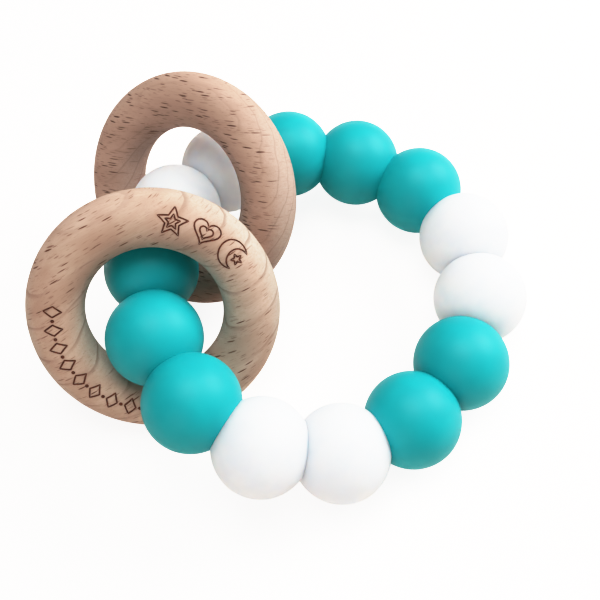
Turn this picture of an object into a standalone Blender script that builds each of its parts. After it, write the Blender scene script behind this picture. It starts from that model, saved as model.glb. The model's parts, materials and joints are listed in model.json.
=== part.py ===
"""Teething ring: a closed string of round silicone beads with two turned wooden rings threaded on it.

The string lies on a table. Where the wooden rings are threaded on, each ring leans over the string: its
low side passes under the beads and rests on the table, and its high side lies over them. Metres, +Z up.
The origin is at the centre of the assembly's bounding box, at table level.
"""

import math

import bpy
import numpy as np
from mathutils import Matrix, Vector

# Beads. A bead's length is the spacing of the beads along the string.
BEAD_DIAMETER = 0.015
BEAD_LENGTH = 0.0126
BEAD_BAND_WIDTH = 0.0005
BEAD_GAP = 0.0003
BEAD_COLOURS = (
    "teal", "white", "white", "teal", "teal", "teal", "white",
    "white", "teal", "teal", "white", "white", "teal", "teal",
)

# Cord. The knot is the thickest thing that a bead's hole must take. KNOT_BEAD counts beads from 0.
CORD_DIAMETER = 0.0014
CORD_TURN_LENGTH = 0.002
KNOT_DIAMETER = 0.002
KNOT_LENGTH = 0.003
KNOT_CLEARANCE = 0.0004
KNOT_BEAD = 8

# Wooden rings. The hole is the bead's diameter and the room that lets the beads pass.
RING_SECTION_DIAMETER = 0.0089
RING_THREADING_ROOM = 0.0061
RING_TO_BEAD_GAP = 0.0003
RING_TO_RING_GAP = 0.0016

# How the string lies, seen from above. Angles are degrees anticlockwise from +X about the loop's centre.
FRONT_RING_ANGLE = 189.3
FRONT_RING_PAST_JUNCTION = 4.1
RING_INSET = 0.0014
LOOP_OVAL = 0.04
LOOP_OVAL_ANGLE = 63.4
LOOP_LOBE = 0.022
LOOP_LOBE_ANGLE = 2.8

# How the string rises over the rings' low sides. The ramps are angles about the loop's centre.
STRING_BELOW_RING_CENTRE = 0.0005
RISE_PAST_FRONT_RING = 11.8
RISE_BEFORE_BACK_RING = 1.3
FRONT_RAMP_ANGLE = 60.0
BACK_RAMP_ANGLE = 109.0

# Mesh detail.
BEAD_SEGMENTS = 24
BEAD_DOME_ROWS = 5
RING_SEGMENTS = 48
RING_SECTION_SEGMENTS = 16

# Sizes that follow from the ones above.
BEAD_COUNT = len(BEAD_COLOURS)
BEAD_HOLE_RADIUS = KNOT_DIAMETER / 2 + KNOT_CLEARANCE
BEAD_REST_HEIGHT = BEAD_DIAMETER / 2 * math.cos(math.pi / BEAD_SEGMENTS)
RING_SECTION_RADIUS = RING_SECTION_DIAMETER / 2
RING_MIDDLE_RADIUS = (BEAD_DIAMETER + RING_THREADING_ROOM) / 2 + RING_SECTION_RADIUS
EVEN_LOOP_RADIUS = BEAD_LENGTH / 2 / math.sin(math.pi / BEAD_COUNT)

MATERIALS = {
    "teal": ("silicone_teal", (0.011, 0.455, 0.479), 0.42),
    "white": ("silicone_white", (0.86, 0.86, 0.87), 0.42),
    "wood": ("beech_wood", (0.46, 0.29, 0.205), 0.62),
    "cord": ("cord", (0.80, 0.78, 0.72), 0.85),
}


def clear_scene():
    for obj in list(bpy.data.objects):
        bpy.data.objects.remove(obj)


def make_material(key):
    name, colour, roughness = MATERIALS[key]
    material = bpy.data.materials.new(name)
    material.use_nodes = True
    shader = material.node_tree.nodes["Principled BSDF"]
    shader.inputs["Base Color"].default_value = (*colour, 1.0)
    shader.inputs["Roughness"].default_value = roughness
    shader.inputs["Metallic"].default_value = 0.0
    return material


def narrowed(low, high, is_low, steps=26):
    """The value between low and high where is_low turns from true to false."""
    for _ in range(steps):
        middle = (low + high) / 2
        if is_low(middle):
            low = middle
        else:
            high = middle
    return high


def eased(share):
    share = min(max(share, 0.0), 1.0)
    return share * share * (3 - 2 * share)


def circle_points(centre, normal, radius, count=180):
    """Points of a circle in space, one row each."""
    side = np.cross(normal, (0.0, 0.0, 1.0))
    side /= np.linalg.norm(side)
    other = np.cross(normal, side)
    turns = np.linspace(0, 2 * math.pi, count, endpoint=False)[:, None]
    return centre + radius * (np.cos(turns) * side + np.sin(turns) * other)


class StringLie:
    """Where the string, its beads and its two rings lie when the rings lean this far from flat."""

    def __init__(self, lean):
        self.lean = lean
        self.ring_height = RING_MIDDLE_RADIUS * math.sin(lean) + RING_SECTION_RADIUS
        self.lift = self.ring_height - STRING_BELOW_RING_CENTRE - BEAD_REST_HEIGHT
        self.loop_radius = EVEN_LOOP_RADIUS
        spacing = narrowed(20.0, 170.0, self.rings_are_close)
        self.back_ring_angle = FRONT_RING_ANGLE - spacing
        low_side = math.degrees(RING_MIDDLE_RADIUS * math.cos(lean) / EVEN_LOOP_RADIUS)
        self.high_from = self.back_ring_angle + low_side - RISE_BEFORE_BACK_RING
        self.high_to = FRONT_RING_ANGLE + low_side + RISE_PAST_FRONT_RING
        self.loop_radius = narrowed(EVEN_LOOP_RADIUS * 0.8, EVEN_LOOP_RADIUS * 1.2, self.loop_is_small)
        self.junctions = self.walk()[0]
        following = np.roll(self.junctions, -1, axis=0)
        self.bead_centres = (self.junctions + following) / 2
        self.bead_axes = (following - self.junctions) / BEAD_LENGTH
        self.rings = [self.ring_place(FRONT_RING_ANGLE), self.ring_place(self.back_ring_angle)]

    def plan_point(self, angle):
        turn = math.radians(angle)
        oval = LOOP_OVAL * math.cos(2 * (turn - math.radians(LOOP_OVAL_ANGLE)))
        lobe = LOOP_LOBE * math.cos(3 * (turn - math.radians(LOOP_LOBE_ANGLE)))
        reach = self.loop_radius * (1 + oval + lobe)
        return np.array((reach * math.cos(turn), reach * math.sin(turn), 0.0))

    def rise(self, angle):
        """The share of the full lift that the string has at an angle."""
        middle = (self.high_from + self.high_to) / 2
        angle = (angle - middle + 180) % 360 - 180 + middle
        before = eased((self.high_from - angle) / BACK_RAMP_ANGLE)
        after = eased((angle - self.high_to) / FRONT_RAMP_ANGLE)
        return 1 - before - after

    def string_point(self, angle):
        point = self.plan_point(angle)
        point[2] = BEAD_REST_HEIGHT + self.lift * self.rise(angle)
        return point

    def walk(self):
        """The points where neighbouring beads meet, going clockwise, and the angle that they cover."""
        start = FRONT_RING_ANGLE - FRONT_RING_PAST_JUNCTION
        angle = start
        points = [self.string_point(angle)]
        for _ in range(BEAD_COUNT):
            here = points[-1]
            step = narrowed(
                0.0,
                2 * 360 / BEAD_COUNT,
                lambda turn: np.linalg.norm(self.string_point(angle - turn) - here) < BEAD_LENGTH,
            )
            angle -= step
            points.append(self.string_point(angle))
        return np.array(points[:BEAD_COUNT]), start - angle

    def loop_is_small(self, radius):
        self.loop_radius = radius
        return self.walk()[1] > 360

    def ring_place(self, angle):
        """A leaning ring's centre and the direction of its own axis."""
        centre = self.plan_point(angle)
        centre *= 1 - RING_INSET / np.linalg.norm(centre)
        centre[2] = self.ring_height
        along = self.plan_point(angle + 1) - self.plan_point(angle - 1)
        along /= np.linalg.norm(along)
        return centre, along * math.sin(self.lean) + np.array((0, 0, math.cos(self.lean)))

    def rings_are_close(self, spacing):
        front, back = [
            circle_points(*self.ring_place(angle), RING_MIDDLE_RADIUS)
            for angle in (FRONT_RING_ANGLE, FRONT_RING_ANGLE - spacing)
        ]
        nearest = np.linalg.norm(front[:, None] - back[None], axis=2).min()
        return nearest < RING_SECTION_DIAMETER + RING_TO_RING_GAP

    def tightest_bend(self):
        cosines = (self.bead_axes * np.roll(self.bead_axes, 1, axis=0)).sum(axis=1)
        return math.acos(cosines.min())

    def dome_length(self):
        """The length of a bead's domed end that leaves BEAD_GAP between beads at the tightest bend."""
        half_bend = self.tightest_bend() / 2
        reach = (BEAD_LENGTH - BEAD_BAND_WIDTH) / 2 * math.cos(half_bend) - BEAD_GAP / 2
        side = BEAD_DIAMETER / 2 * math.sin(half_bend)
        return math.sqrt(reach**2 - side**2) / math.cos(half_bend)

    def ring_touches_bead(self):
        outline = np.array(bead_outline(self.dome_length(), 60))
        for centre, normal in self.rings:
            middle_line = circle_points(centre, normal, RING_MIDDLE_RADIUS)
            away = middle_line[:, None] - self.bead_centres[None]
            along = (away * self.bead_axes[None]).sum(axis=2)
            across = np.sqrt(np.maximum((away**2).sum(axis=2) - along**2, 0))
            apart = np.hypot(across[..., None] - outline[:, 0], along[..., None] - outline[:, 1])
            if apart.min() < RING_SECTION_RADIUS + RING_TO_BEAD_GAP:
                return True
        return False


def bead_outline(dome_length, dome_rows):
    """A bead's outer outline as (radius, place along its axis), from its top hole to its bottom hole."""
    hole_turn = math.acos(BEAD_HOLE_RADIUS / (BEAD_DIAMETER / 2))
    top = []
    for row in range(dome_rows + 1):
        turn = hole_turn * (1 - row / dome_rows)
        radius = BEAD_DIAMETER / 2 * math.cos(turn)
        top.append((radius, BEAD_BAND_WIDTH / 2 + dome_length * math.sin(turn)))
    return top + [(radius, -along) for radius, along in reversed(top)]


def settled_string():
    """The string with its rings leaning as flat as the beads in their holes let them."""
    lean = narrowed(
        math.radians(30), math.radians(89), lambda turn: StringLie(turn).ring_touches_bead(), steps=12
    )
    return StringLie(lean)


def make_bead_mesh(dome_length, material):
    """A closed outline at +X, for a Screw modifier to turn into a bead with a hole along Z."""
    outline = [Vector((radius, 0, along)) for radius, along in bead_outline(dome_length, BEAD_DOME_ROWS)]
    edges = [(i, (i + 1) % len(outline)) for i in range(len(outline))]
    mesh = bpy.data.meshes.new("bead_outline")
    mesh.from_pydata(outline, edges, [])
    mesh.materials.append(material)
    return mesh


def standing_frame(axis):
    """A rotation that takes local Z to axis and keeps local Y as near upright as it can be."""
    z_axis = Vector(axis).normalized()
    x_axis = Vector((0, 0, 1)).cross(z_axis).normalized()
    y_axis = z_axis.cross(x_axis)
    return Matrix((x_axis, y_axis, z_axis)).transposed().to_4x4()


def make_bead(name, mesh, centre, axis, collection):
    bead = bpy.data.objects.new(name, mesh)
    collection.objects.link(bead)
    screw = bead.modifiers.new("turned", "SCREW")
    screw.steps = BEAD_SEGMENTS
    screw.render_steps = BEAD_SEGMENTS
    screw.use_merge_vertices = True
    screw.merge_threshold = 0.00001
    half_facet = Matrix.Rotation(math.pi / BEAD_SEGMENTS, 4, "Z")
    bead.matrix_world = Matrix.Translation(centre) @ standing_frame(axis) @ half_facet
    return bead


def make_beads(string, collection):
    dome_length = string.dome_length()
    meshes = {
        colour: make_bead_mesh(dome_length, make_material(colour)) for colour in sorted(set(BEAD_COLOURS))
    }
    beads = []
    for i, colour in enumerate(BEAD_COLOURS):
        name = f"bead_{i + 1:02d}_{colour}"
        centre = Vector(string.bead_centres[i])
        beads.append(make_bead(name, meshes[colour], centre, string.bead_axes[i], collection))
    return beads


def make_wood_ring(name, centre, axis, material, collection):
    bpy.ops.mesh.primitive_torus_add(
        major_radius=RING_MIDDLE_RADIUS,
        minor_radius=RING_SECTION_RADIUS,
        major_segments=RING_SEGMENTS,
        minor_segments=RING_SECTION_SEGMENTS,
    )
    ring = bpy.context.object
    ring.name = name
    for other in list(ring.users_collection):
        other.objects.unlink(ring)
    collection.objects.link(ring)
    ring.data.materials.append(material)
    ring.data.shade_smooth()
    ring.matrix_world = Matrix.Translation(centre) @ standing_frame(axis)
    return ring


def cord_route(string):
    """The cord's middle line as (point, thickness), straight through each bead, turning between them."""
    route = []
    for i in range(BEAD_COUNT):
        corner = string.junctions[i]
        before = corner - string.bead_axes[i - 1] * CORD_TURN_LENGTH
        after = corner + string.bead_axes[i] * CORD_TURN_LENGTH
        turn = [before, before / 4 + corner / 2 + after / 4, after]
        route += [(point, CORD_DIAMETER) for point in turn]
        if i == KNOT_BEAD:
            along = string.bead_axes[i] * KNOT_LENGTH / 2
            for share, thickness in (
                (-1.0, CORD_DIAMETER),
                (-0.6, KNOT_DIAMETER),
                (0.6, KNOT_DIAMETER),
                (1.0, CORD_DIAMETER),
            ):
                route.append((string.bead_centres[i] + share * along, thickness))
    return route


def make_cord(string, material, collection):
    curve = bpy.data.curves.new("threading_cord", "CURVE")
    curve.dimensions = "3D"
    curve.bevel_depth = CORD_DIAMETER / 2
    curve.bevel_resolution = 2
    curve.use_fill_caps = True
    route = cord_route(string)
    spline = curve.splines.new("POLY")
    spline.points.add(len(route) - 1)
    spline.use_cyclic_u = True
    for point, (place, thickness) in zip(spline.points, route):
        point.co = (*place, 1.0)
        point.radius = thickness / CORD_DIAMETER
    curve.materials.append(material)
    cord = bpy.data.objects.new("threading_cord", curve)
    collection.objects.link(cord)
    return cord


def world_box(objects):
    """The lowest and highest corners of what these objects show."""
    bpy.context.view_layer.update()
    graph = bpy.context.evaluated_depsgraph_get()
    points = []
    for obj in objects:
        shown = obj.evaluated_get(graph)
        mesh = shown.to_mesh()
        points += [shown.matrix_world @ vertex.co for vertex in mesh.vertices]
        shown.to_mesh_clear()
    corners = np.array([tuple(point) for point in points])
    return Vector(corners.min(axis=0)), Vector(corners.max(axis=0))


def settle_on_table(ring):
    """A ring made of flat facets stands a little high, so it is lowered on to the table."""
    lowest = world_box([ring])[0].z
    ring.location.z -= lowest


def centre_on_origin(objects, collection):
    """Puts the origin at the middle of the assembly, at table level."""
    low, high = world_box(objects)
    anchor = bpy.data.objects.new("assembly_origin", None)
    collection.objects.link(anchor)
    for obj in objects:
        obj.parent = anchor
    anchor.location = (-(low.x + high.x) / 2, -(low.y + high.y) / 2, -low.z)
    bpy.context.view_layer.update()


def main():
    clear_scene()
    collection = bpy.data.collections.new("teething_ring")
    bpy.context.scene.collection.children.link(collection)
    string = settled_string()
    wood = make_material("wood")
    rings = [
        make_wood_ring(name, Vector(centre), axis, wood, collection)
        for name, (centre, axis) in zip(("front_wood_ring", "back_wood_ring"), string.rings)
    ]
    for ring in rings:
        settle_on_table(ring)
    beads = make_beads(string, collection)
    cord = make_cord(string, make_material("cord"), collection)
    centre_on_origin([*beads, *rings, cord], collection)


main()
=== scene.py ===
# %% [markdown]
# # A teething ring of silicone beads and turned beech
# Fourteen soft silicone beads sit on one knotted cord, and two turned beech rings hang on the loop.
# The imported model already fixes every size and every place, so it is loaded first and never moved.
# Each step below takes one piece, says what it is on the real object, and gives it its real surface.

# %% Load the fixed frame
import json
import math

import bmesh
import bpy
import numpy as np
from mathutils import Euler, Matrix, Vector, kdtree


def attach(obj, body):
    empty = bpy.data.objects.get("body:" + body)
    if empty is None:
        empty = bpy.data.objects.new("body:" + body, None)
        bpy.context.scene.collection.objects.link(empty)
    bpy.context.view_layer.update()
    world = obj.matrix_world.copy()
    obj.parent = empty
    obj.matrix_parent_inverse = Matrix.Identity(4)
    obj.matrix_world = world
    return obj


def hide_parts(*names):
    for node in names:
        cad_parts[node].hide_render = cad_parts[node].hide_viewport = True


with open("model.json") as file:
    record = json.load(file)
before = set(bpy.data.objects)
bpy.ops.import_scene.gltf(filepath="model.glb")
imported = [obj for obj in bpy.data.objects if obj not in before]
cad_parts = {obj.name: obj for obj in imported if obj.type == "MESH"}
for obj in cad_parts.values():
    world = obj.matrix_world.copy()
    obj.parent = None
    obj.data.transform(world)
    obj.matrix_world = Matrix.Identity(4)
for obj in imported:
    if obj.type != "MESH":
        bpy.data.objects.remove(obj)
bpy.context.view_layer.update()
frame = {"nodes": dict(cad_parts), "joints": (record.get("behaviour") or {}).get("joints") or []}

MM = 0.001

# %% [markdown]
# ## What the frame says about each piece
# A bead turns about the cord, so its joint gives its middle and the line of its hole. A ring's joint
# gives its middle too, and the flattest direction of its mesh is the ring's own axis. Measuring the
# CAD nodes like this means that a change of size in the model needs no change here.

# %% Measure the beads
joint_of = {joint["child"]: joint for joint in frame["joints"]}
bead_names = sorted(name for name in frame["nodes"] if name.startswith("bead_"))


def middle_of(name):
    return Vector(joint_of[name]["pos_m"])


def points_from_middle(name):
    points = np.array([vertex.co for vertex in frame["nodes"][name].data.vertices], float)
    return points - np.array(middle_of(name))


def bead_measures(name):
    """The bead's radius and the radius of its hole, both square to the cord."""
    offsets = points_from_middle(name)
    axis = np.array(joint_of[name]["axis"], float)
    along = offsets @ axis
    across = np.linalg.norm(offsets - np.outer(along, axis), axis=1)
    return across.max(), across.min()


bead_radius, hole_radius = bead_measures(bead_names[0])
print(f"beads {bead_radius * 2 / MM:.2f} mm across, holes {hole_radius * 2 / MM:.2f} mm")

# %% Measure the rings
ring_names = ("front_wood_ring", "back_wood_ring")


def ring_measures(name):
    """The ring's own frame as a matrix, its middle radius, and the radius of its round section.
    The frame's X is level, its Y climbs the ring's slope and its Z is the ring's axis, pointing up."""
    offsets = points_from_middle(name)
    axis = Vector(np.linalg.svd(offsets, full_matrices=False)[2][2])
    if axis.z < 0:
        axis.negate()
    level = Vector((0, 0, 1)).cross(axis).normalized()
    uphill = axis.cross(level)
    place = Matrix((level, uphill, axis)).transposed().to_4x4()
    place.translation = middle_of(name)
    heights = offsets @ np.array(axis)
    across = np.linalg.norm(offsets - np.outer(heights, np.array(axis)), axis=1)
    return place, (across.max() + across.min()) / 2, (across.max() - across.min()) / 2


ring_place = {}
for ring_name in ring_names:
    ring_place[ring_name], ring_radius, section_radius = ring_measures(ring_name)
    slope = math.degrees(ring_place[ring_name].to_3x3().col[2].angle(Vector((0, 0, 1))))
    print(ring_name, f"leans {slope:.1f} degrees from lying flat")
ring_across = 2 * (ring_radius + section_radius) / MM
ring_thick = 2 * section_radius / MM
print(f"rings {ring_across:.1f} mm across, {ring_thick:.1f} mm thick")

# %% [markdown]
# ## The camera
# A product like this is looked at from above, across the table, with a short telephoto lens. A camera
# looks along its own minus Z, so its matrix is written from three directions: what is right, what is
# up, and what points back from the table to the lens. A few degrees of roll set the loop a little
# askew.

# %% Place the camera
CAMERA_ELEVATION = math.radians(60.32)
CAMERA_ROLL = math.radians(-6.85)
CAMERA_DISTANCE = 150.3 * MM
CAMERA_AIM = Vector((2.66 * MM, 3.99 * MM, 0))
CAMERA_LENS = 51.22
CAMERA_SENSOR = 36


def add_camera():
    right = Vector((1, 0, 0))
    back = Vector((0, -math.cos(CAMERA_ELEVATION), math.sin(CAMERA_ELEVATION)))
    up = back.cross(right)
    rolled_right = math.cos(CAMERA_ROLL) * right + math.sin(CAMERA_ROLL) * up
    rolled_up = math.cos(CAMERA_ROLL) * up - math.sin(CAMERA_ROLL) * right
    data = bpy.data.cameras.new("camera")
    data.lens = CAMERA_LENS
    data.sensor_width = CAMERA_SENSOR
    data.clip_start = 1 * MM
    data.clip_end = 10
    camera = bpy.data.objects.new("camera", data)
    bpy.context.scene.collection.objects.link(camera)
    camera.matrix_world = Matrix((rolled_right, rolled_up, back)).transposed().to_4x4()
    camera.location = CAMERA_AIM + back * CAMERA_DISTANCE
    return camera


bpy.context.scene.camera = add_camera()
print("camera at", [round(value / MM, 1) for value in bpy.context.scene.camera.location], "mm")

# %% [markdown]
# ## Shader maths that reads like maths
# A procedural material is a net of small nodes. Wiring it by hand hides the idea, so one class holds
# a node's output and lets +, -, * and / add the Math nodes, and a second class holds a material and
# adds any other node by its type, its settings and its inputs.

# %% Wrap a socket and a material


class Amount:
    """One number that varies over a surface. Arithmetic on it adds Math nodes to its material."""

    def __init__(self, recipe, socket):
        self.recipe = recipe
        self.socket = socket

    def maths(self, operation, first, second=0.0):
        settings = {"operation": operation}
        return self.recipe.add("ShaderNodeMath", settings, {0: first, 1: second})

    def __add__(self, other):
        return self.maths("ADD", self, other)

    def __sub__(self, other):
        return self.maths("SUBTRACT", self, other)

    def __rsub__(self, other):
        return self.maths("SUBTRACT", other, self)

    def __mul__(self, other):
        return self.maths("MULTIPLY", self, other)

    def __truediv__(self, other):
        return self.maths("DIVIDE", self, other)

    __radd__ = __add__
    __rmul__ = __mul__

    def function(self, name, other=0.0):
        """A function of the number by its name in the Math node, such as FRACT or MINIMUM."""
        return self.maths(name, self, other)

    def between(self, low, high):
        """0 below low, 1 above high, and an even, soft step between them."""
        settings = {"interpolation_type": "SMOOTHSTEP"}
        inputs = {"Value": self, "From Min": low, "From Max": high}
        return self.recipe.add("ShaderNodeMapRange", settings, inputs, output="Result")


class Recipe:
    """A material and its Principled shader, with one method that adds any node."""

    def __init__(self, name, **constants):
        self.material = bpy.data.materials.new(name)
        self.material.use_nodes = True
        self.nodes = self.material.node_tree.nodes
        self.links = self.material.node_tree.links
        self.shader = self.nodes["Principled BSDF"]
        for socket, value in constants.items():
            self.shader.inputs[socket.replace("_", " ")].default_value = value

    def add(self, kind, settings=None, inputs=None, output=0):
        node = self.nodes.new(kind)
        for name, value in (settings or {}).items():
            setattr(node, name, value)
        for name, value in (inputs or {}).items():
            self.feed(node.inputs[name], value)
        return Amount(self, node.outputs[output])

    def feed(self, socket, value):
        if isinstance(value, Amount):
            self.links.new(value.socket, socket)
        else:
            socket.default_value = value

    def object_place(self, **mapping):
        """Object coordinates, moved, turned and scaled by a Mapping node."""
        inputs = {name.capitalize(): value for name, value in mapping.items()}
        inputs["Vector"] = self.add("ShaderNodeTexCoord", output="Object")
        return self.add("ShaderNodeMapping", {"vector_type": "TEXTURE"}, inputs)

    def stretched(self, vector, scale):
        """The vector times three numbers. A pattern that reads it is finer where they are large."""
        settings = {"operation": "MULTIPLY"}
        return self.add("ShaderNodeVectorMath", settings, {0: vector, 1: scale})

    def noise(self, vector, scale, detail, roughness=0.5):
        inputs = {"Vector": vector, "Scale": scale, "Detail": detail, "Roughness": roughness}
        return self.add("ShaderNodeTexNoise", {}, inputs)

    def mix(self, factor, first, second, blend="MIX"):
        """Two colours mixed. Sockets 0, 6 and 7 of the Mix node are its factor and its two colours."""
        settings = {"data_type": "RGBA", "blend_type": blend}
        inputs = {0: factor, 6: first, 7: second}
        return self.add("ShaderNodeMix", settings, inputs, output=2)

    def bump(self, height, depth):
        return self.add("ShaderNodeBump", {}, {"Height": height, "Distance": depth, "Strength": 1.0})

    def finish(self, **sockets):
        for socket, value in sockets.items():
            self.feed(self.shader.inputs[socket.replace("_", " ")], value)
        print("material", self.material.name, "has", len(self.nodes), "nodes")
        return self.material


def colour(red, green, blue):
    """A colour given as on a screen, 0 to 255, turned into the linear values that a shader takes."""
    screen = np.array((red, green, blue)) / 255
    linear = np.where(screen < 0.04045, screen / 12.92, ((screen + 0.055) / 1.055) ** 2.4)
    return (*linear.tolist(), 1.0)


# %% [markdown]
# ## The camera's response
# A camera deepens the shade a little, and doesn't cut white off sharply but bends over towards it.
# That is what keeps a white bead's shape on a white table. Blender's view settings have a curve for
# it. Each pair of numbers is a brightness in the scene and the brightness that the picture gives it.

# %% Set the camera's response
BRIGHTEST = 2.2
RESPONSE = (
    (0.1, 0.078), (0.22, 0.188), (0.31, 0.29), (0.4, 0.395), (0.55, 0.562), (0.7, 0.715),
    (0.85, 0.83), (1.0, 0.895), (1.25, 0.945), (1.6, 0.975),
)
ALL_CHANNELS = 3


def set_camera_response():
    view = bpy.context.scene.view_settings
    view.view_transform = "Standard"
    view.use_curve_mapping = True
    mapping = view.curve_mapping
    mapping.white_level = (BRIGHTEST, BRIGHTEST, BRIGHTEST)
    for scene_value, picture_value in RESPONSE:
        mapping.curves[ALL_CHANNELS].points.new(scene_value / BRIGHTEST, picture_value)
    mapping.update()


set_camera_response()
print("the camera's response has", len(RESPONSE), "points up to", BRIGHTEST)

# %% [markdown]
# ## The table and the light
# The real thing lies on a white table in daylight. A window behind it on the right lights the upper
# right of every bead, the ceiling above gives a second, softer light, and a warm white card in front
# on the left lifts the left sides and the undersides. The room fills in the rest.
# Three round area lights and the world do the same. The table's paper glows for the camera only, which
# keeps it white while its shadows stay faint. The far wall is as pale as the table's far edge, and only
# the camera sees it.

# %% Lay the table and hang the lights
WINDOW_FROM = Vector((0.77, 0.34, 0.54))
WINDOW_POWER = 2.35
CEILING_FROM = Vector((0.07, 0.12, 0.99))
CEILING_POWER = 1.5
CARD_FROM = Vector((-0.42, -0.76, 0.38))
CARD_POWER = 0.45
CARD_COLOUR = (1.0, 0.92, 0.87)
DAYLIGHT = (1.0, 1.0, 1.0)
LIGHT_DISTANCE = 450 * MM
LIGHT_SIZE = 300 * MM
FILL_COLOUR = (1.02, 1.0, 0.99, 1.0)
FILL_STRENGTH = 0.2
FAR_WALL = 1.3
TABLE_SIZE = 4.0
TABLE_COLOUR = (0.97, 0.87, 0.8, 1)
TABLE_GLOW = 0.2
GLOW_STRENGTH = 4.8


def add_table(height):
    bpy.ops.object.select_all(action="DESELECT")
    bpy.ops.mesh.primitive_plane_add(size=TABLE_SIZE, location=(0, 0, height))
    table = bpy.context.object
    table.name = "table"
    recipe = Recipe("white_table", Base_Color=TABLE_COLOUR, Roughness=0.9)
    recipe.shader.inputs["Specular IOR Level"].default_value = 0.1
    seen = recipe.add("ShaderNodeLightPath", output="Is Camera Ray")
    glow = recipe.add("ShaderNodeEmission", {}, {"Strength": GLOW_STRENGTH}, output="Emission")
    paper = Amount(recipe, recipe.shader.outputs["BSDF"])
    mixed = recipe.add("ShaderNodeMixShader", {}, {0: seen * TABLE_GLOW, 1: paper, 2: glow})
    recipe.links.new(mixed.socket, recipe.nodes["Material Output"].inputs["Surface"])
    table.data.materials.append(recipe.material)


def add_light(name, direction, power, tint=DAYLIGHT):
    data = bpy.data.lights.new(name, "AREA")
    data.shape = "DISK"
    data.size = LIGHT_SIZE
    data.energy = power
    data.color = tint
    light = bpy.data.objects.new(name, data)
    bpy.context.scene.collection.objects.link(light)
    light.location = direction.normalized() * LIGHT_DISTANCE
    light.rotation_euler = direction.to_track_quat("Z", "Y").to_euler()


def add_fill():
    world = bpy.data.worlds.new("room_fill")
    world.use_nodes = True
    tree = world.node_tree
    room = tree.nodes["Background"]
    room.inputs["Color"].default_value = FILL_COLOUR
    room.inputs["Strength"].default_value = FILL_STRENGTH
    wall = tree.nodes.new("ShaderNodeBackground")
    wall.inputs["Color"].default_value = (FAR_WALL, FAR_WALL, FAR_WALL, 1)
    seen = tree.nodes.new("ShaderNodeLightPath")
    either = tree.nodes.new("ShaderNodeMixShader")
    tree.links.new(seen.outputs["Is Camera Ray"], either.inputs[0])
    tree.links.new(room.outputs[0], either.inputs[1])
    tree.links.new(wall.outputs[0], either.inputs[2])
    tree.links.new(either.outputs[0], tree.nodes["World Output"].inputs["Surface"])
    bpy.context.scene.world = world


table_height = min(middle_of(name).z for name in bead_names) - bead_radius
add_table(table_height)
add_light("window", WINDOW_FROM, WINDOW_POWER)
add_light("ceiling", CEILING_FROM, CEILING_POWER)
add_light("card", CARD_FROM, CARD_POWER, CARD_COLOUR)
add_fill()
print(f"the table is at {table_height / MM:.2f} mm")

# %% [markdown]
# ## Small helpers for modelling by operator
# An operator works on whatever is selected, and loading the frame leaves its nodes selected. So each
# step starts from nothing selected, and picks its faces or edges by where they are.

# %% Select, edit and finish


def deselect_everything():
    if bpy.context.mode != "OBJECT":
        bpy.ops.object.mode_set(mode="OBJECT")
    bpy.ops.object.select_all(action="DESELECT")


def select_only(piece):
    deselect_everything()
    piece.select_set(True)
    bpy.context.view_layer.objects.active = piece


def edit(piece):
    select_only(piece)
    bpy.ops.object.mode_set(mode="EDIT")
    bpy.ops.mesh.select_mode(type="EDGE")


def pick_edges(piece, wanted):
    """In edit mode, selects the edges that the test accepts, and nothing else."""
    bpy.ops.mesh.select_all(action="DESELECT")
    cage = bmesh.from_edit_mesh(piece.data)
    for edge in cage.edges:
        if wanted(edge):
            edge.select_set(True)
    bmesh.update_edit_mesh(piece.data)


def apply_modifier(piece, kind, **settings):
    modifier = piece.modifiers.new(kind.lower(), kind)
    for name, value in settings.items():
        setattr(modifier, name, value)
    select_only(piece)
    bpy.ops.object.modifier_apply(modifier=modifier.name)


def distance_from_z(point):
    return math.hypot(point.x, point.y)


def stand_for(piece, node, slot):
    """The piece rides where the CAD node does and hides it. The slot is not used."""
    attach(piece, joint_of[node]["child"])
    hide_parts(node)


# %% [markdown]
# ## The beads
# A silicone bead is moulded as a ball with a hole for the cord, and the hole's mouths are rounded so
# that they don't wear it. The beads are threaded tight, and each soft ball presses into its
# neighbours, which is why no cord shows between them. The balls are left nearly round here and
# overlap a little where real ones flatten. A sphere is cut open at its poles, each mouth is drawn
# inwards and the two mouths are bridged, so the hole is a real one. A bevel rounds the mouths.

# %% Model one bead along Z
BEAD_SEGMENTS = 96
BEAD_ROWS = 64
BEAD_FULLNESS = 0.99
MOUTH_WIDTH = 0.5 * MM
MOUTH_DEPTH = 0.35 * MM
MOUTH_ROUNDING = 0.2 * MM
MOUTH_EDGE = math.radians(20)
mouth_radius = hole_radius + MOUTH_WIDTH
mouth_height = BEAD_FULLNESS * math.sqrt(bead_radius**2 - mouth_radius**2)


def open_mouth(bead, side):
    """Cuts one pole off the ball and draws the cut's edge inwards, down to the hole."""
    bpy.ops.mesh.select_all(action="SELECT")
    height = side * mouth_height
    bpy.ops.mesh.bisect(plane_co=(0, 0, height), plane_no=(0, 0, side), clear_outer=True)
    pick_edges(bead, lambda edge: edge.is_boundary and edge.verts[0].co.z * side > 0)
    bpy.ops.mesh.extrude_region_move(TRANSFORM_OT_translate={"value": (0, 0, -side * MOUTH_DEPTH)})
    narrower = hole_radius / mouth_radius
    bpy.ops.transform.resize(value=(narrower, narrower, 1), center_override=(0, 0, height))


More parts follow.
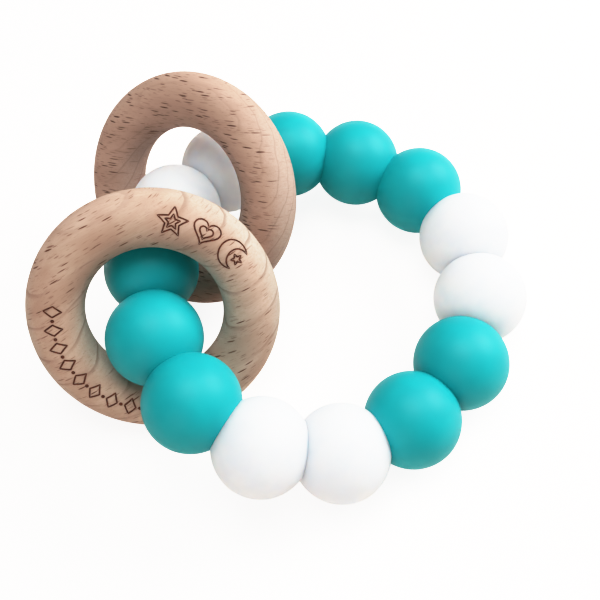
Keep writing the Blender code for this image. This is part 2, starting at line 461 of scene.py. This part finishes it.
def model_bead():
    deselect_everything()
    bpy.ops.mesh.primitive_uv_sphere_add(
        segments=BEAD_SEGMENTS, ring_count=BEAD_ROWS, radius=bead_radius
    )
    bead = bpy.context.object
    edit(bead)
    bpy.ops.mesh.select_all(action="SELECT")
    bpy.ops.transform.resize(value=(1, 1, BEAD_FULLNESS), center_override=(0, 0, 0))
    open_mouth(bead, 1)
    open_mouth(bead, -1)
    pick_edges(bead, lambda edge: edge.is_boundary)
    bpy.ops.mesh.bridge_edge_loops()
    bpy.ops.mesh.select_all(action="SELECT")
    bpy.ops.mesh.normals_make_consistent(inside=False)
    apply_modifier(
        bead, "BEVEL", width=MOUTH_ROUNDING, segments=4, limit_method="ANGLE", angle_limit=MOUTH_EDGE
    )
    bpy.ops.object.shade_smooth()
    return bead


bead_pattern = model_bead()
print("one bead has", len(bead_pattern.data.polygons), "faces")

# %% [markdown]
# ## Silicone
# Food-grade silicone is dyed right through, matt, faintly translucent and a little dusty to look at.
# The colour comes from the dye. Light scattered under the surface softens the shade, far more in the
# white beads than in the teal ones, and very fine unevenness in roughness and bump keeps the
# highlight broad and soft.

# %% Mix the silicone
TEAL = colour(24, 168, 173)
WHITE = colour(238, 243, 250)
TEAL_SPREAD = (0.15, 0.9, 1.0)
WHITE_SPREAD = (1.0, 0.8, 0.7)
DEEPER_DYE = (0.93, 0.95, 0.96, 1)
SKIN_DEPTH = 0.012 * MM


def silicone(name, dye, glow, depth, spread):
    """Glow is how much light goes in, depth how far, and spread how far each of its colours gets."""
    recipe = Recipe(name, Subsurface_Weight=glow, Subsurface_Scale=depth, IOR=1.41)
    recipe.shader.inputs["Subsurface Radius"].default_value = spread
    recipe.shader.inputs["Specular IOR Level"].default_value = 0.25
    place = recipe.object_place(scale=(MM, MM, MM))
    cloudy = recipe.noise(place, 0.25, detail=2)
    bloom = recipe.noise(place, 2.2, detail=4)
    skin = recipe.noise(place, 9.0, detail=2)
    deeper = recipe.mix(1.0, dye, DEEPER_DYE, blend="MULTIPLY")
    tinted = recipe.mix(cloudy.between(0.35, 0.65), deeper, dye)
    return recipe.finish(
        Base_Color=tinted, Roughness=0.4 + bloom * 0.1, Normal=recipe.bump(skin, SKIN_DEPTH)
    )


finishes = {
    "teal": (silicone("teal_silicone", TEAL, 0.1, 0.8 * MM, TEAL_SPREAD), "silicone_teal"),
    "white": (silicone("white_silicone", WHITE, 1.0, 8.0 * MM, WHITE_SPREAD), "silicone_white"),
}

# %% [markdown]
# ## Threading the beads
# Each bead is a copy of the first with a mesh of its own. The hole is turned from Z to the joint's
# axis and the bead is moved to the joint's middle, both in its mesh, so that its object stays at the
# origin and the pattern in the dye stays still when the bead turns.

# %% Put a bead on every joint


def thread_bead(name):
    axis = Vector(joint_of[name]["axis"])
    turn = Vector((0, 0, 1)).rotation_difference(axis).to_matrix().to_4x4()
    mesh = bead_pattern.data.copy()
    mesh.transform(Matrix.Translation(middle_of(name)) @ turn)
    piece = bpy.data.objects.new(name + "_ball", mesh)
    bpy.context.scene.collection.objects.link(piece)
    material, slot = finishes[name.split("_")[2]]
    mesh.materials.clear()
    mesh.materials.append(material)
    stand_for(piece, name, slot)
    return piece


beads = [thread_bead(name) for name in bead_names]
bpy.data.objects.remove(bead_pattern)
print("threaded", len(beads), "beads")

# %% [markdown]
# ## The beech rings
# Each ring is turned on a lathe from a flat board of beech and then sanded by hand, so its section
# is round and its surface very slightly uneven. A torus gives the turned shape. Its hole side is eased
# outwards a little, as sanding does, a subdivision makes it fine, and a faint cloud of displacement
# gives it the hand-sanded skin.

# %% Turn the rings
RING_STEPS = 128
SECTION_STEPS = 48
SANDING_DEPTH = 0.05 * MM
SANDING_SIZE = 7 * MM
HOLE_EASING = 1.004
HOLE_SIDE = 0.99
EASING_REACH = 0.6


def sanding_clouds():
    clouds = bpy.data.textures.new("sanding", "CLOUDS")
    clouds.noise_scale = SANDING_SIZE
    return clouds


def turn_ring(name):
    """A ring of the right size around the origin, with its axis along Z."""
    deselect_everything()
    bpy.ops.mesh.primitive_torus_add(
        major_segments=RING_STEPS, minor_segments=SECTION_STEPS,
        major_radius=ring_radius, minor_radius=section_radius,
    )
    ring = bpy.context.object
    ring.name = name
    edit(ring)
    innermost = ring_radius - section_radius * HOLE_SIDE
    pick_edges(ring, lambda edge: all(distance_from_z(v.co) < innermost for v in edge.verts))
    bpy.ops.transform.resize(
        value=(HOLE_EASING, HOLE_EASING, 1), center_override=(0, 0, 0),
        use_proportional_edit=True, proportional_size=section_radius * EASING_REACH,
    )
    apply_modifier(ring, "SUBSURF", levels=1, render_levels=1)
    apply_modifier(ring, "DISPLACE", texture=sanding_clouds(), strength=SANDING_DEPTH, mid_level=0.5)
    return ring


rings = {name: turn_ring(name.replace("_wood", "_beech")) for name in ring_names}
print("a ring has", len(rings["front_wood_ring"].data.polygons), "faces before its border is cut")

# %% [markdown]
# ## The burnt-in drawings
# The front ring carries a hand-burnt decoration: three small pictures, and a border along the
# opposite side. A hot point burns a round groove, so each line is a thin tube laid on the ring and cut
# from it with a Boolean. A drawing is planned flat, in millimetres right and up, and then wrapped onto
# the ring.

# %% Wrap a flat drawing onto a ring
LINE_WIDTH = 0.28 * MM
LINE_STEP = 0.15


def on_ring(around, over, right, up):
    """A point of the ring's skin. Around and over are the drawing's middle, in degrees round the ring
    and over its section from the rim. Right, clockwise, and up, outwards, are in mm from there."""
    tilt = math.radians(over) - up * MM / section_radius
    reach = ring_radius + section_radius * math.cos(math.radians(over))
    turn = math.radians(around) - right * MM / reach
    out = ring_radius + section_radius * math.cos(tilt)
    return Vector((out * math.cos(turn), out * math.sin(turn), section_radius * math.sin(tilt)))


def stepped(corners):
    """The closed outline with points added between its corners, close enough to follow the ring."""
    points = []
    for (x0, y0), (x1, y1) in zip(corners, corners[1:] + corners[:1]):
        count = max(1, round(math.hypot(x1 - x0, y1 - y0) / LINE_STEP))
        points += [(x0 + (x1 - x0) * k / count, y0 + (y1 - y0) * k / count) for k in range(count)]
    return points


def curve_points(outline, count):
    """Corners read from a formula of one turn, from 0 to 1."""
    return [outline(k / count) for k in range(count)]


# %% [markdown]
# The three pictures are plain nursery shapes: a star and a heart, each with a smaller one inside, and
# a moon that holds a little star. The border is a row of diamonds with a dot between each pair.

# %% Draw the star, the heart, the moon and the border
STAR_WAIST = 0.24
HEART_WIDTH = 34
HEART_LIFT = 2.5


def star(size):
    def corner(k):
        reach = size / 2 if k % 2 == 0 else size * STAR_WAIST
        angle = math.radians(90 + 36 * k)
        return reach * math.cos(angle), reach * math.sin(angle)

    return [corner(k) for k in range(10)]


def heart(size):
    """The heart curve of school books, a sum of cosines."""
    def outline(turn):
        angle = 2 * math.pi * turn
        x = 16 * math.sin(angle) ** 3
        y = 13 * math.cos(angle) - 5 * math.cos(2 * angle)
        y = y - 2 * math.cos(3 * angle) - math.cos(4 * angle)
        return x * size / HEART_WIDTH, (y + HEART_LIFT) * size / HEART_WIDTH

    return curve_points(outline, 36)


def moon(size):
    """The outer arc runs three quarters round, and a shallower arc closes it from the inside."""
    outer = [math.radians(50 + 260 * k / 24) for k in range(25)]
    tip = Vector((math.cos(outer[0]), math.sin(outer[0]))) * size / 2
    hollow = Vector((size * 0.27, 0))
    bend = (tip - hollow).length
    first = math.atan2(tip.y, tip.x - hollow.x)
    inner = [-first + (2 * first - 2 * math.pi) * k / 18 for k in range(1, 18)]
    points = [(size / 2 * math.cos(angle), size / 2 * math.sin(angle)) for angle in outer]
    return points + [(hollow.x + bend * math.cos(angle), bend * math.sin(angle)) for angle in inner]


def diamond(width, height):
    return [(0, height / 2), (width / 2, 0), (0, -height / 2), (-width / 2, 0)]


def dot(size):
    def outline(turn):
        return size * math.cos(turn * math.tau), size * math.sin(turn * math.tau)

    return curve_points(outline, 10)


def shifted_right(outline, distance):
    return [(x + distance, y) for x, y in outline]


print("star, heart and moon corners:", len(star(1)), len(heart(1)), len(moon(1)))

# %% [markdown]
# The pictures sit high on the ring and the border runs along its lower left, on the ring's upper
# face. All lines become one curve object with a round bevel, which is turned into a mesh and used as
# the cutter. Every line is closed, so no tube has an open end.

# %% Lay the drawings on the front ring
# Where each picture sits, in degrees round the ring, and its outlines.
PICTURES = {
    68.0: (star(4.6), star(2.3)),
    49.8: (heart(4.3), heart(2.2)),
    31.5: (moon(4.4), shifted_right(star(1.7), 0.95)),
}
# Degrees over the ring's section, then the border's marks in degrees round the ring, then sizes in mm.
PICTURES_OVER = 78.0
BORDER_OVER = 93.0
BORDER_START = 163.0
BORDER_STEP = 11.6
BORDER_MARKS = 13
DIAMOND_SIZE = (1.75, 2.7)
DOT_SIZE = 0.16


def drawing_lines():
    """Every line of the drawing as points in the ring's own frame; all of them are closed."""
    lines = []
    for around, outlines in PICTURES.items():
        for outline in outlines:
            lines.append([on_ring(around, PICTURES_OVER, x, y) for x, y in stepped(outline)])
    for mark in range(BORDER_MARKS):
        around = BORDER_START + mark * BORDER_STEP
        corners = stepped(diamond(*DIAMOND_SIZE))
        lines.append([on_ring(around, BORDER_OVER, x, y) for x, y in corners])
        between = around + BORDER_STEP / 2
        lines.append([on_ring(between, BORDER_OVER, x, y) for x, y in dot(DOT_SIZE)])
    return lines


def add_hot_point(lines, material):
    """The thin tubes that the hot point sweeps, as one closed mesh."""
    data = bpy.data.curves.new("hot_point", "CURVE")
    data.dimensions = "3D"
    data.bevel_depth = LINE_WIDTH / 2
    data.bevel_resolution = 1
    for line in lines:
        spline = data.splines.new("POLY")
        spline.points.add(len(line) - 1)
        for point, place in zip(spline.points, line):
            point.co = (*place, 1)
        spline.use_cyclic_u = True
    data.materials.append(material)
    tubes = bpy.data.objects.new("hot_point", data)
    bpy.context.scene.collection.objects.link(tubes)
    select_only(tubes)
    bpy.ops.object.convert(target="MESH")
    return bpy.context.object


def burnt_wood():
    """Patchy brown, as a hot point leaves it: darker where it went slowly."""
    recipe = Recipe("burnt_line", IOR=1.4)
    place = recipe.object_place(scale=(MM, MM, MM))
    patchy = recipe.noise(place, 1.6, detail=4, roughness=0.6)
    charred = recipe.mix(patchy.between(0.35, 0.7), colour(76, 36, 24), colour(116, 64, 42))
    return recipe.finish(
        Base_Color=charred, Roughness=0.75 + patchy * 0.15, Normal=recipe.bump(patchy, 0.05 * MM)
    )


burnt_lines = drawing_lines()
burnt = burnt_wood()
print("the drawing has", len(burnt_lines), "lines")

# %% [markdown]
# ## Beech
# Beech is a pale pinkish-brown wood with three marks to it. Short dark dashes are its rays, cut where
# they come up through the board's face, and they always run with the grain. Faint lines follow the
# yearly growth. Where the ring's side cuts across the fibres, the end grain drinks more oil and turns
# greyer. The pattern is worked out in a frame of its own: X with the grain, Y across it, Z up through
# the board. How much end grain shows and how near a burnt line is are stored on the mesh, because both
# follow the surface.

# %% Mix the beech
RAY_LENGTH = 1.9
RAY_WIDTH = 0.22
RAY_HEIGHT = 2.2
RAY_WANDER = 1.5
SMALL_RAYS = 0.62
YEAR_WANDER = 2.4
CREAM_STRENGTH = 0.22
FIBRE_STRENGTH = 0.42
END_FIBRE_STRENGTH = 0.45
PORE_STRENGTH = 0.3
SCORCH_STRENGTH = 0.55
GRAIN_DEPTH = 0.045 * MM


def beech(name, place, wood):
    """Beech for a ring whose board lies in the frame `place`."""
    recipe = Recipe(name, IOR=1.45)
    recipe.shader.inputs["Specular IOR Level"].default_value = 0.3
    turned = place.to_euler()
    board = recipe.object_place(location=place.translation, rotation=turned, scale=(MM, MM, MM))
    shifted = recipe.add("ShaderNodeVectorMath", {"operation": "ADD"}, {0: board, 1: wood["seed"]})
    ends = recipe.add("ShaderNodeAttribute", {"attribute_name": "end_grain"}, output="Fac")
    scorch = recipe.add("ShaderNodeAttribute", {"attribute_name": "scorch"}, output="Fac")

    wander = recipe.noise(recipe.stretched(shifted, (0.05, 0.16, 0.16)), 1.0, detail=2) - 0.5
    years = year_lines(recipe, shifted, wander, wood)
    rays = ray_marks(recipe, shifted, wander, wood["ray_spacing"])
    fibres = recipe.noise(recipe.stretched(shifted, (0.14, 2.6, 2.6)), 1.0, detail=5, roughness=0.62)
    pores = recipe.noise(recipe.stretched(shifted, (0.5, 7.0, 7.0)), 1.0, detail=2)
    bands = recipe.noise(recipe.stretched(shifted, (0.03, 0.3, 0.3)), 1.0, detail=2)
    clouds = recipe.noise(shifted, 0.12, detail=2)

    face = recipe.mix(bands.between(0.32, 0.68), wood["dark"], wood["pale"])
    face = recipe.mix(clouds.between(0.45, 0.65) * CREAM_STRENGTH, face, wood["cream"])
    face = recipe.mix(fibres.between(0.35, 0.68) * FIBRE_STRENGTH, face, wood["dark"])
    end_fibres = fibres.between(0.3, 0.7) * END_FIBRE_STRENGTH
    cut_end = recipe.mix(end_fibres, wood["end"], wood["dark"])
    timber = recipe.mix(ends.between(0.4, 0.95) * 0.85, face, cut_end)
    timber = recipe.mix(years * (0.05 + ends * wood["year_mark"]), timber, wood["ray"])
    timber = recipe.mix(rays * (1 - ends.between(0.35, 0.85) * 0.8), timber, wood["ray"])
    timber = recipe.mix(pores.between(0.56, 0.8) * PORE_STRENGTH, timber, wood["ray"])
    timber = recipe.mix(scorch * SCORCH_STRENGTH, timber, SCORCH_TONE)
    relief = fibres * 0.5 + pores * 0.3 - rays * 0.8 - years * 0.2
    return recipe.finish(
        Base_Color=timber,
        Roughness=0.6 + ends * 0.12 + rays * 0.1,
        Normal=recipe.bump(relief, GRAIN_DEPTH),
    )


def year_lines(recipe, board, wander, wood):
    """The edge of each year's growth: layers that lean from the board's face by the year tilt."""
    sideways = recipe.add("ShaderNodeSeparateXYZ", {}, {0: board}, output="Y")
    upward = Amount(recipe, sideways.socket.node.outputs["Z"])
    lean = math.radians(wood["year_tilt"])
    layer = upward * math.cos(lean) + sideways * math.sin(lean) + wander * YEAR_WANDER
    year = (layer / wood["year_width"]).function("FRACT")
    return year.between(0.82, 0.97) * (1 - year.between(0.97, 1.0))


def ray_marks(recipe, board, wander, spacing):
    """Dashes along X: thin spindles scattered through the wood, in two sizes, some darker than
    others. Each sits in a Voronoi cell that is `spacing` half-lengths long."""
    marks = 0
    for share in (1.0, SMALL_RAYS):
        size = [1 / (length * share * spacing / 2) for length in (RAY_LENGTH, RAY_WIDTH, RAY_HEIGHT)]
        shift = {"Y": wander * RAY_WANDER, "Z": 11.0 * share}
        bent = recipe.add("ShaderNodeCombineXYZ", {}, shift)
        moved = recipe.add("ShaderNodeVectorMath", {"operation": "ADD"}, {0: board, 1: bent})
        cells = recipe.add(
            "ShaderNodeTexVoronoi", {}, {"Vector": recipe.stretched(moved, size), "Scale": 1.0}
        )
        chance = Amount(recipe, cells.socket.node.outputs["Color"])
        edge = 1 / spacing
        dash = 1 - cells.between(edge * 0.6, edge * 1.05)
        darkness = 0.25 + chance.between(0.2, 0.7) * 0.75
        marks = dash * darkness * share + marks
    return marks.function("MINIMUM", 1.0)


def board_frame(ring, grain_turn):
    """The ring's frame turned so that X runs with the grain."""
    return ring @ Euler((0, 0, math.radians(grain_turn)), "XYZ").to_matrix().to_4x4()


SCORCH_TONE = colour(150, 102, 76)
BOARDS = {
    "front_wood_ring": {
        "pale": colour(197, 168, 151), "dark": colour(180, 150, 132), "cream": colour(224, 204, 185),
        "end": colour(195, 183, 169), "ray": colour(104, 66, 46), "seed": (13, 35, 9),
        "grain_turn": 20, "year_tilt": 64, "year_width": 4.4, "year_mark": 0.5, "ray_spacing": 4.3,
    },
    # The back ring's tones are all darker than the front ring's: partly its own board's tone, partly
    # painted shade, because this ring faces away from the window.
    "back_wood_ring": {
        "pale": colour(186, 157, 141), "dark": colour(173, 144, 128), "cream": colour(198, 170, 153),
        "end": colour(185, 164, 151), "ray": colour(84, 52, 38), "seed": (41, 17, 2),
        "grain_turn": 14, "year_tilt": 16, "year_width": 1.8, "year_mark": 0.2, "ray_spacing": 3.7,
    },
}

# %% [markdown]
# ## Finishing the rings
# The tubes are cut from the front ring while it still lies flat, and the groove takes the burnt
# material from the cutter. The cut also leaves a few flat scraps, two faces back to back that hang on
# one edge. They are found by walking over the surface, and deleted. Both rings then move to their
# places, and the two surface values are stored.

# %% Cut the grooves and place both rings
SCORCH_REACH = 0.35 * MM
SMOOTH_UNDER = math.radians(35)


def store(mesh, name, values):
    attribute = mesh.attributes.new(name, "FLOAT", "POINT")
    attribute.data.foreach_set("value", np.asarray(values, np.float32))


def line_distances(mesh, lines):
    """How far each point of the mesh is from the nearest burnt line."""
    places = [place for line in lines for place in line]
    tree = kdtree.KDTree(len(places))
    for index, place in enumerate(places):
        tree.insert(place, index)
    tree.balance()
    return np.array([tree.find(vertex.co)[2] for vertex in mesh.vertices])


def scraps(mesh):
    """The faces that a walk over the main surface doesn't reach. It crosses only edges of two faces."""
    faces_at = {}
    for face in mesh.polygons:
        for edge in face.edge_keys:
            faces_at.setdefault(edge, []).append(face.index)
    unseen = set(range(len(mesh.polygons)))
    islands = []
    while unseen:
        waiting = [unseen.pop()]
        island = []
        while waiting:
            island.append(waiting.pop())
            for edge in mesh.polygons[island[-1]].edge_keys:
                if len(faces_at[edge]) == 2:
                    fresh = unseen.intersection(faces_at[edge])
                    unseen -= fresh
                    waiting.extend(sorted(fresh))
        islands.append(island)
    islands.sort(key=len)
    return [face for island in islands[:-1] for face in island]


def clear_scraps(piece):
    """Makes triangles first, because a long face can hide a scrap until it is split."""
    edit(piece)
    bpy.ops.mesh.select_all(action="SELECT")
    bpy.ops.mesh.quads_convert_to_tris()
    bpy.ops.object.mode_set(mode="OBJECT")
    loose = scraps(piece.data)
    edit(piece)
    bpy.ops.mesh.select_mode(type="FACE")
    bpy.ops.mesh.select_all(action="DESELECT")
    cage = bmesh.from_edit_mesh(piece.data)
    cage.faces.ensure_lookup_table()
    for face in loose:
        cage.faces[face].select_set(True)
    bmesh.update_edit_mesh(piece.data)
    bpy.ops.mesh.delete(type="FACE")
    bpy.ops.object.mode_set(mode="OBJECT")
    print("cleared", len(loose), "scraps left by the cut")


def finish_ring(name):
    ring = rings[name]
    board = board_frame(ring_place[name], BOARDS[name]["grain_turn"])
    ring.data.materials.append(beech(name.replace("wood_ring", "beech"), board, BOARDS[name]))
    near_line = np.zeros(len(ring.data.vertices))
    if name == "front_wood_ring":
        cutter = add_hot_point(burnt_lines, burnt)
        apply_modifier(
            ring, "BOOLEAN", operation="DIFFERENCE", solver="MANIFOLD", object=cutter,
            material_mode="TRANSFER",
        )
        bpy.data.objects.remove(cutter)
        clear_scraps(ring)
        near_line = 1 - line_distances(ring.data, burnt_lines) / SCORCH_REACH
    ring.data.transform(ring_place[name])
    grain = np.array(board.to_3x3().col[0])
    normals = np.array([vertex.normal for vertex in ring.data.vertices])
    store(ring.data, "end_grain", np.abs(normals @ grain))
    store(ring.data, "scorch", np.clip(near_line, 0, 1) ** 2)
    select_only(ring)
    bpy.ops.object.shade_smooth_by_angle(angle=SMOOTH_UNDER)
    stand_for(ring, name, "beech_wood")
    print(ring.name, "has", len(ring.data.polygons), "faces")


for ring_name in ring_names:
    finish_ring(ring_name)

# %% [markdown]
# ## The cord
# The beads hide the cord completely. Its CAD tube already has the right route and its knot, so it
# stays, and it gets the look of a twisted white cord.

# %% Dress the cord
STRAND_SCALE = 0.9
STRAND_DEPTH = 0.1 * MM


def cord_finish():
    recipe = Recipe("twisted_cord", Sheen_Weight=0.3)
    place = recipe.object_place(scale=(MM, MM, MM))
    settings = {"bands_direction": "DIAGONAL"}
    inputs = {"Vector": place, "Scale": STRAND_SCALE}
    strands = recipe.add("ShaderNodeTexWave", settings, inputs, output="Fac")
    white = recipe.mix(strands, colour(196, 192, 184), colour(238, 236, 230))
    return recipe.finish(
        Base_Color=white, Roughness=0.7 + strands * 0.1, Normal=recipe.bump(strands, STRAND_DEPTH)
    )


cord = frame["nodes"]["threading_cord"]
cord.data.materials.clear()
cord.data.materials.append(cord_finish())
